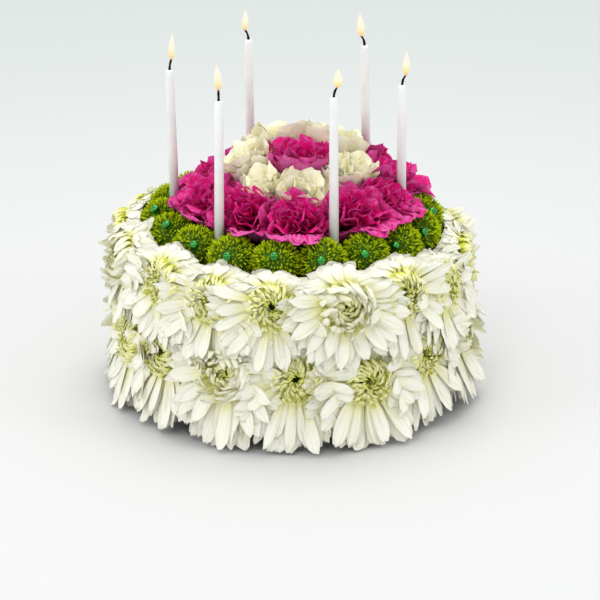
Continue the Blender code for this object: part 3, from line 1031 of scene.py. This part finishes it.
def drape_over_ring(points, chance, along, clearance=0.0008, slide=0.12, soft=0.0016):
    """Petals that would sink into the ring of buttons lie on it in folds, and slide outwards."""
    radius = np.hypot(points[:, 0], points[:, 1])
    sunk = np.maximum(0.0, ring_top(radius, clearance) - points[:, 2])
    moved = radius + slide * sunk
    left = smooth_step((-points[:, 0] - LEFT_SIDE) / LEFT_SIDE)
    edge = SKIRT_RADIUS - LEFT_PULL * left
    moved = np.where(moved > edge, edge + 0.4 * (moved - edge), moved)
    scale = moved / np.maximum(radius, 1e-6)
    floor = ring_top(moved, clearance)
    height = floor + soft * np.logaddexp(0.0, (points[:, 2] - floor) / soft)
    turn = np.arctan2(points[:, 0], -points[:, 1])
    folds = 1 + np.sin(70 * turn + 5 * chance) + 0.7 * np.sin(113 * turn + 9 * chance)
    height = height + FOLD_HEIGHT * folds * smooth_step(sunk / 0.004) * smooth_step(along)
    return np.column_stack([points[:, 0] * scale, points[:, 1] * scale, height])


# %% Dress the carnations
BEHIND_CANDLE = 0.0036  # the skirts end this far inside a candle's axis
CANDLE_ROOM = 0.0155  # and give way this far to either side of it
SWELL = 0.016  # how much further out they reach between two candles
SWELL_FROM, SWELL_WIDTH = 0.0035, 0.012
CARNATION_GIVE, CARNATION_LIFT = 0.78, 0.18


def keep_behind_candles(points):
    """No petal lies in front of a candle: the skirts end behind it, and swell out between two."""
    for candle in CANDLES:
        turn = radians(candle["angle"])
        out = np.array([sin(turn), -cos(turn)])
        level = points[:, :2] - [CANDLE_CENTRE_X, 0]
        ahead, aside = level @ out, np.abs(level @ [-out[1], out[0]])
        swell = SWELL * smooth_step((aside - SWELL_FROM) / SWELL_WIDTH)
        limit = CANDLE_RING_RADIUS - BEHIND_CANDLE + swell
        near = (aside < CANDLE_ROOM) & (ahead > 0)
        back = np.where(near, np.maximum(0.0, ahead - limit), 0.0)
        points = points - np.column_stack([back * out[0], back * out[1], 0 * back])
    return points


def dress_carnation(head, rounds, size, material, slot, seed, shape=lambda points: points):
    random = np.random.default_rng(seed)
    bunch = combine([carnation_round(random, **recipe) for recipe in rounds])
    points = to_world(head, shape(bunch.points * size))
    points = press_between(points, head, top_heads, CARNATION_GIVE, CARNATION_LIFT)
    points = drape_over_ring(keep_behind_candles(points), bunch.map[:, 2], bunch.map[:, 0])
    bunch.points = part_round_candles(points)
    return add_piece(f"frilled_{head.node}", bunch, material, slot, head.node)


for k, head in enumerate(magenta_heads):
    lift = MAGENTA_LIFTS.get(k, MAGENTA_SINK)
    dress_carnation(head, MAGENTA_ROUNDS, 1.0, magenta_finish, "magenta_petals", 300 + k,
                    lambda points: sit_on_buttons(points, lift))
for k, head in enumerate(middle_heads):
    dress_carnation(head, MAGENTA_ROUNDS, 1.08, magenta_finish, "magenta_petals", 330 + k)
for k, head in enumerate(cream_heads):
    piece = dress_carnation(head, CREAM_ROUNDS, 1.07, cream_finish, "cream_petals", 340 + k)
print("carnations:", len(top_heads), "heads of up to", len(piece.data.polygons), "faces")

# %% [markdown]
# ## Cups under the petals
#
# The petals of every head grow from a green cup that sits on the foam. Little of it shows: the dark
# hollow of an open chrysanthemum is its top. The cup is modelled from a cylinder, and a copy goes
# behind each head.


# %% Model the cup
def model_cup():
    """A cup 1 wide: a narrow neck round the origin, a flaring side and a domed top."""
    cup = start_from(bpy.ops.mesh.primitive_cylinder_add, vertices=16, radius=0.22, depth=0.25,
                     location=(0, 0, 0.125))
    select_faces(cup, lambda face: face.normal.z > 0.9)
    for step, size in ((0.30, 1.7), (0.30, 1.25)):
        extrude_up(step)
        bpy.ops.transform.resize(value=(size, size, 1), center_override=(0, 0, 0))
    for inset, step in ((0.16, 0.10), (0.16, 0.05)):
        bpy.ops.mesh.inset(thickness=inset, depth=0)
        bpy.ops.transform.translate(value=(0, 0, step))
    return smoothed(cup)


# %% Copy it to its places
def place_copies(model, name, places, material):
    """A copy of the model, with its own mesh, at each place; all joined into one piece."""
    copies = []
    for place in places:
        copy = bpy.data.objects.new(name, model.data.copy())
        copy.data.transform(place)
        bpy.context.scene.collection.objects.link(copy)
        copies.append(copy)
    bpy.data.objects.remove(model, do_unlink=True)
    select_only(copies)
    bpy.ops.object.join()
    joined = bpy.context.object
    joined.name = name
    coat(joined, material)
    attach(joined, "root")
    return joined


def frame_of(origin, side, up, out, width, height):
    """The matrix that sets a model of unit size on an origin, with its own Z along out."""
    turn = Matrix((side * width, up * width, out * height)).transposed().to_4x4()
    return Matrix.Translation(origin) @ turn


# %% Set a cup behind every head
MUM_CUP = {"top": 0.0126, "width": 0.0190}
CARNATION_CUP = {"top": 0.010, "width": 0.009}


def cup_places(heads, foot, top, width):
    """Cups that start foot behind each head's back and end top in front of it."""
    return [frame_of(h.back - h.out * foot, h.side, h.up, h.out, width, foot + top) for h in heads]


mum_places = cup_places(upper_mums + lower_mums, 0.0, **MUM_CUP)
carnation_places = [
    place for heads, foot in ((magenta_heads, 0.0), (cream_heads, 0.002), (middle_heads, 0.007))
    for place in cup_places(heads, foot, **CARNATION_CUP)
]
mum_cups = place_copies(model_cup(), "chrysanthemum_cups", mum_places, cup_finish)
carnation_cups = place_copies(model_cup(), "carnation_cups", carnation_places, cup_finish)
print("cups:", [len(piece.data.polygons) for piece in (mum_cups, carnation_cups)], "faces")

# %% [markdown]
# ## Green button flowers
#
# Each is a ball of several hundred short, blunt florets that all look outwards. They grow from a
# domed core on a short neck, which also stops light from showing through between them.

# %% Button flowers
FLORETS = 640
FLORET_LENGTH = 0.0038
FLORET_HALF_WIDTH = 0.00054
FLORET_SHEET = 0.00026  # half its thickness
FLORET_FOOT = 0.0034  # how deep in the ball it starts
FLORET_LEAN = 0.0013
FLORET_DISORDER = 0.11
CORE_DEPTH = 0.0030  # how deep in the ball the core's skin is
GOLDEN_TURN = 2.39996  # spreads points evenly over a ball


def floret_directions(random):
    """Directions spread over the upper seven tenths of a ball, with a little disorder."""
    level = 1 - (np.arange(FLORETS) + 0.5) / FLORETS * 1.40
    ring = np.sqrt(1 - level**2)
    turn = np.arange(FLORETS) * GOLDEN_TURN
    out = np.column_stack([ring * np.cos(turn), ring * np.sin(turn), level])
    out += random.normal(0, FLORET_DISORDER, out.shape)
    return out / np.linalg.norm(out, axis=1, keepdims=True)


def button_bunch(seed, centre):
    random = np.random.default_rng(seed)
    out = floret_directions(random)
    side = np.cross(out, [0.31, 0.17, 0.94])  # any direction serves: each is then spun
    side /= np.linalg.norm(side, axis=1, keepdims=True)
    other = np.cross(side, out)
    spin = column(random.uniform(0, tau, FLORETS))
    side, other = (side * np.cos(spin) + other * np.sin(spin),
                   other * np.cos(spin) - side * np.sin(spin))
    u, v = floret_blank.along[None], floret_blank.across[None]
    length = FLORET_LENGTH * column(random.uniform(0.70, 1.25, FLORETS))
    shape = (0.5 + 0.5 * smooth_step(u / 0.7)) * (1 - 0.5 * smooth_step((u - 0.7) / 0.3))
    x = FLORET_HALF_WIDTH * shape * v
    y = BUTTON_RADIUS - FLORET_FOOT + length * u
    lean = FLORET_LEAN * column(random.uniform(0.2, 1.0, FLORETS)) * u**2
    z = FLORET_SHEET * floret_blank.face[None] + lean
    points = (np.array(centre)[None, None] + out[:, None] * y[..., None]
              + side[:, None] * x[..., None] - other[:, None] * z[..., None])
    return gather(random, floret_blank, points, 0.0)


def model_core():
    """The domed core of a button flower, with its neck, round the origin."""
    core = start_from(bpy.ops.mesh.primitive_uv_sphere_add, segments=20, ring_count=12,
                      radius=BUTTON_RADIUS - CORE_DEPTH)
    select_faces(core, lambda face: face.normal.z < -0.80)
    bpy.ops.transform.resize(value=(0.6, 0.6, 1))
    extrude_up(-0.0018)
    bpy.ops.transform.resize(value=(0.8, 0.8, 0.3))
    return smoothed(core)


# %% Set the ring of button flowers
def button_centre(k):
    angle = BUTTON_FIRST_ANGLE + k * 360 / BUTTON_COUNT
    return round_the_cake(BUTTON_RING_RADIUS, angle, BUTTON_HEIGHT)


for arc in range(BUTTON_COUNT // BUTTONS_PER_ARC):
    members = [arc * BUTTONS_PER_ARC + 1 + k for k in range(BUTTONS_PER_ARC)]
    florets = combine([button_bunch(500 + k, button_centre(k)) for k in members])
    florets.points = part_round_candles(florets.points)
    add_piece(f"button_florets_{arc + 1}", florets, floret_finish, "green_buttons",
              f"green_button_arc_{arc + 1}")
    places = [Matrix.Translation(button_centre(k)) for k in members]
    place_copies(model_core(), f"button_cores_{arc + 1}", places, core_finish)
print("button flowers:", BUTTON_COUNT, "of", FLORETS, "florets")

# %% [markdown]
# ## Pearl pins
#
# A green pearl on a pin is pushed into each button flower, wherever the florist's hand reached it,
# so each has its own direction. The pearl is a ball whose back is drawn out into the pin that ends
# inside the flower.

# %% Pearl pins
PEARL_RADIUS = 0.0027
PEARL_GAP = 0.0008  # how far its middle is from the skin of the flower
PIN_LENGTH = 0.0045
# Where each pearl looks: degrees to the right of the front, and degrees up.
PEARL_PINS = (
    (-5, 24), (-3, 24), (-8, 19), (14, 18), (30, 30), (-30, 45), (13, 41), (153, 38), (173, 34),
    (193, 40), (213, 36), (-13, 50), (20, 54), (-27, 46), (-15, 45), (-2, 29), (-10, 24), (-5, 35),
)

pearl_finish = patchy(
    "pearl_green", (0.001, 0.17, 0.012), (0.004, 0.31, 0.024), (500.0, 2.0), 0.05, 0.0002,
    (0.35, 0.65), Metallic=1.0, Roughness=0.20, Coat_Weight=1.0, Coat_IOR=1.5, Coat_Roughness=0.05)


def model_pearl():
    """A pearl round the origin, its pin along -Z."""
    pearl = start_from(bpy.ops.mesh.primitive_uv_sphere_add, segments=24, ring_count=16,
                       radius=PEARL_RADIUS)
    select_faces(pearl, lambda face: face.normal.z < -0.97)
    bpy.ops.transform.resize(value=(0.5, 0.5, 1))
    extrude_up(-PIN_LENGTH)
    return smoothed(pearl)


def pearl_place(k):
    """On the skin of flower k, looking its own way."""
    yaw, rise = (radians(angle) for angle in PEARL_PINS[k])
    out = Vector((sin(yaw) * cos(rise), -cos(yaw) * cos(rise), sin(rise)))
    side = Vector((cos(yaw), sin(yaw), 0))
    place = button_centre(k) + out * (BUTTON_RADIUS + PEARL_GAP)
    return frame_of(place, side, out.cross(side), out, 1.0, 1.0)


pearl_places = [pearl_place(k) for k in range(BUTTON_COUNT)]
pearls = place_copies(model_pearl(), "pearl_pins", pearl_places, pearl_finish)
print("pearls:", BUTTON_COUNT, "in", len(pearls.data.polygons), "faces")

# %% [markdown]
# ## Candles
#
# Slim tapers of white wax. The top is narrowed and slightly dished where the wax has melted, and
# the wick stands in it. The taper starts as a cone; the rings of its top come from insets.


# %% Finishes of candle, wick and flame
def candle_wax():
    finish = Finish("candle_wax", Roughness=0.42, Subsurface_Weight=0.15, Subsurface_Scale=0.001,
                    Subsurface_Radius=(1.0, 1.0, 1.0))
    streak = finish.noise(60.0, 3.0).between(0.3, 0.7)
    finish.feed("Base Color", finish.mix(streak, (0.84, 0.85, 0.85), (0.91, 0.92, 0.92)))
    finish.bump(finish.noise(300.0, 2.0), 0.08, 0.0003)
    return finish.material


def flame_light():
    """Soft orange at the foot, pale yellow above, nearly white in the middle."""
    finish = Finish("flame_light", Roughness=1.0, Emission_Strength=1.0, Specular_IOR_Level=0.0)
    finish.shader.inputs["Base Color"].default_value = (0, 0, 0, 1)
    along, *_ = petal_map(finish)
    stops = [(0.0, (0.82, 0.50, 0.27)), (0.10, (0.94, 0.66, 0.32)), (0.24, (1.0, 0.86, 0.42)),
             (0.44, (1.0, 0.96, 0.72)), (0.78, (1.0, 0.97, 0.82)), (1.0, (0.97, 0.91, 0.72))]
    finish.feed("Emission Color", finish.node("ShaderNodeValToRGB", {"stops": stops}, {0: along}))
    return finish.material


wax_finish, flame_finish = candle_wax(), flame_light()
wick_finish = patchy("wick_black", (0.003, 0.002, 0.002), (0.02, 0.012, 0.008), (1500.0, 3.0), 0.5,
                     0.0002, Roughness=0.95, Specular_IOR_Level=0.1)
print("finishes:", wax_finish.name, wick_finish.name, flame_finish.name)

# %% Tapers
TAPER_TOP = 0.0055  # the last part, where the wax has melted and narrowed


def model_taper(height):
    """A cone whose top face is inset into rings, dished and narrowed; its foot is on the origin."""
    depth = height - TAPER_TOP
    taper = start_from(bpy.ops.mesh.primitive_cone_add, vertices=28, radius1=CANDLE_FOOT_RADIUS,
                       radius2=CANDLE_TOP_RADIUS, depth=depth, location=(0, 0, depth / 2))
    bpy.ops.object.transform_apply(location=True, rotation=True, scale=True)
    select_faces(taper, lambda face: face.normal.z > 0.9)
    for share, size in ((0.45, 0.97), (0.33, 0.93), (0.16, 0.88), (0.06, 0.80)):
        extrude_up(share * TAPER_TOP)
        bpy.ops.transform.resize(value=(size, size, 1))
    for inset, drop in ((0.0004, 0.0), (0.0004, -0.0003), (0.0003, -0.0002)):
        bpy.ops.mesh.inset(thickness=inset, depth=drop)
    return smoothed(taper)


def add_candle(k, candle, material):
    taper = model_taper(candle["top"] - CANDLE_FOOT)
    for vertex in taper.data.vertices:
        middle = candle_middle(candle, CANDLE_FOOT + vertex.co.z)
        vertex.co = vertex.co * Vector((1, 1, 0)) + middle
    taper.name = f"taper_{k}"
    taper.data.materials.append(material)
    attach(taper, "root")
    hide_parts(f"candle_{k}")
    return taper


for k, candle in enumerate(CANDLES, start=1):
    taper = add_candle(k, candle, wax_finish)
print("tapers:", len(CANDLES), "of", len(taper.data.polygons), "faces")

# %% [markdown]
# ## Wicks and flames
#
# A wick is a charred cord that stands up out of the wax and bends over at its tip, so it is a curve
# with a round bevel, turned into a mesh. The flame stands on its tip, and the wick itself stays in
# view below it. A flame is a sphere drawn out into a drop, with its colour set by the height.

# %% Wicks
WICK_THICKNESS = 0.00078
WICK_STEPS = 9
WICK_BEND = 0.0022


def wick_place(candle, share):
    """A point of the wick, from its foot (0) to its tip (1)."""
    bend = Vector((cos(radians(candle["wick_angle"])), sin(radians(candle["wick_angle"])), 0))
    rise = Vector((0, 0, WICK_LENGTH * (share - 0.10 * share**3) - 0.0006))
    return candle_middle(candle, candle["top"]) + rise + bend * WICK_BEND * share**2.2


def add_wick(k, candle, material):
    curve = bpy.data.curves.new(f"wick_{k}", "CURVE")
    curve.dimensions = "3D"
    curve.bevel_depth = WICK_THICKNESS
    curve.bevel_resolution = 2
    curve.use_fill_caps = True
    spline = curve.splines.new("POLY")
    spline.points.add(WICK_STEPS - 1)
    for i, point in enumerate(spline.points):
        share = i / (WICK_STEPS - 1)
        point.co = (*wick_place(candle, share), 1)
        point.radius = 1.0 - 0.25 * share + 0.12 * sin(9 * share + k)
    wick = bpy.data.objects.new(f"wick_{k}", curve)
    bpy.context.scene.collection.objects.link(wick)
    select_only([wick])
    bpy.ops.object.convert(target="MESH")
    wick = bpy.context.object
    coat(wick, material)
    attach(wick, "root")
    return wick


for k, candle in enumerate(CANDLES, start=1):
    wick = add_wick(k, candle, wick_finish)
print("wicks:", len(CANDLES), "of", len(wick.data.polygons), "faces")

# %% Flames
FLAME_LEAN = 0.0009


def add_flame(k, candle, material):
    """A sphere drawn out into a drop that stands on the wick's tip and leans with the air."""
    height, radius = candle["flame_height"], candle["flame_radius"]
    foot = wick_place(candle, 1.0) - Vector((0, 0, 0.0006))
    flame = start_from(bpy.ops.mesh.primitive_uv_sphere_add, segments=20, ring_count=20, radius=1.0)
    points = np.array([vertex.co[:] for vertex in flame.data.vertices])
    share = np.clip((points[:, 2] + 1) / 2, 0, 1)
    profile = np.sin(pi * share**0.80) ** 0.75 * (1 - 0.30 * share)
    ring = np.maximum(np.hypot(points[:, 0], points[:, 1]), 1e-9)
    level = points[:, :2] / ring[:, None] * profile[:, None] * radius
    level[:, 0] += FLAME_LEAN * sin(k * 2.3) * share**2
    for vertex, place in zip(flame.data.vertices, np.column_stack([level, share * height])):
        vertex.co = Vector(place) + foot
    flame.data.attributes.new("petal", "FLOAT_COLOR", "POINT")
    shades = np.column_stack([share, share * 0, share * 0, share * 0])
    flame.data.attributes["petal"].data.foreach_set("color", shades.astype(np.float32).ravel())
    flame.name = f"flame_{k}"
    flame.data.shade_smooth()
    flame.data.materials.append(material)
    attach(flame, "root")
    return flame


for k, candle in enumerate(CANDLES, start=1):
    flame = add_flame(k, candle, flame_finish)
print("flames:", len(CANDLES), "of", len(flame.data.polygons), "faces")

# %% [markdown]
# ## Floral foam
#
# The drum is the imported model's own solid. It shows only in small gaps, as dark green, finely
# porous foam, so it keeps its shape and gets a better material.

# %% Foam
foam_finish = patchy("floral_foam", (0.03, 0.06, 0.02), (0.10, 0.17, 0.07), (900.0, 4.0), 0.6,
                     0.0005, Roughness=0.95)
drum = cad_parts["foam_drum"]
coat(drum, foam_finish)

# %% [markdown]
# ## The stage
#
# A wide, round, pale floor, whose far rim rises gently, so that its edge stays out of sight from
# any side, unless the eye is nearly as low as the cake. It starts as a disc at the height of the
# rim; insets then step down to the flat floor. It is coolest in colour far from the cake.

# %% Floor
STAGE_RADIUS = 7.0
STAGE_RIM = 0.30
STAGE_STEPS = ((0.5, 0.5), (0.7, 0.35), (0.9, 0.15))  # inset, and share of the drop
STAGE_FLOOR = (0.68, 0.68, 0.69)
STAGE_FAR = (0.61, 0.648, 0.640)


def stage_white():
    finish = Finish("stage_white", Roughness=0.7)
    place = finish.node("ShaderNodeTexCoord", output=3)
    distance = finish.node("ShaderNodeVectorMath", {"operation": "LENGTH"}, {0: place}, output=1)
    finish.feed("Base Color", finish.mix(distance.between(0.15, 0.80), STAGE_FLOOR, STAGE_FAR))
    return finish.material


def add_stage():
    stage = start_from(bpy.ops.mesh.primitive_circle_add, vertices=96, radius=STAGE_RADIUS,
                       fill_type="NGON", location=(0, 0, STAGE_RIM))
    bpy.ops.object.transform_apply(location=True, rotation=True, scale=True)
    select_faces(stage, lambda face: True)
    for inset, share in STAGE_STEPS:
        bpy.ops.mesh.inset(thickness=inset, depth=0)
        bpy.ops.transform.translate(value=(0, 0, -share * STAGE_RIM))
    smoothed(stage).name = "stage_floor"
    stage.data.materials.append(stage_white())
    return stage


print("stage:", len(add_stage().data.polygons), "faces")

# %% [markdown]
# ## Light
#
# White flowers need light from all round: a bright, neutral world fills the shadows between the
# petals, and three large soft lights give them their shape. A small lamp in front puts the glints
# on the pearls.


# %% Light
def add_area(name, place, size, power, colour):
    light = bpy.data.lights.new(name, "AREA")
    light.shape = "RECTANGLE"
    light.size = size
    light.size_y = size
    light.energy = power
    light.color = colour
    lamp = bpy.data.objects.new(name, light)
    lamp.location = place
    lamp.rotation_euler = (Vector((0, 0, 0.1)) - Vector(place)).to_track_quat("-Z", "Y").to_euler()
    bpy.context.scene.collection.objects.link(lamp)
    return lamp


lamps = (
    add_area("soft_left", (-1.8, -0.8, 1.1), 1.1, 8.1, (1.0, 0.99, 0.97)),
    add_area("soft_right", (1.5, -0.7, 1.0), 0.5, 3.4, (1.0, 0.995, 0.985)),
    add_area("soft_top", (0.1, 0.3, 1.9), 1.2, 13.5, (1.0, 0.995, 0.985)),
    add_area("glint", (-0.30, -0.95, 1.05), 0.30, 2.0, (1.0, 1.0, 1.0)),
)
world = bpy.data.worlds.new("studio")
world.use_nodes = True
world.node_tree.nodes["Background"].inputs["Color"].default_value = (0.965, 0.97, 0.965, 1)
world.node_tree.nodes["Background"].inputs["Strength"].default_value = 0.90
bpy.context.scene.world = world
bpy.context.scene.view_settings.view_transform = "Standard"
print("lamps:", [lamp.name for lamp in lamps])

# %% [markdown]
# ## Camera
#
# A long lens from a little above the cake, so that its sides stay upright and its top shows.

# %% Camera
LOOKING_DOWN = 20.96  # degrees
camera = bpy.data.cameras.new("camera")
camera.lens = 161.55
camera.sensor_width = 36.0
camera.shift_x = 0.0125
eye = bpy.data.objects.new("camera", camera)
eye.location = (0.0, -1.5086, 0.6306)
eye.rotation_euler = (radians(90 - LOOKING_DOWN), 0, 0)
bpy.context.scene.collection.objects.link(eye)
bpy.context.scene.camera = eye
print("camera at", [round(x, 3) for x in eye.location])
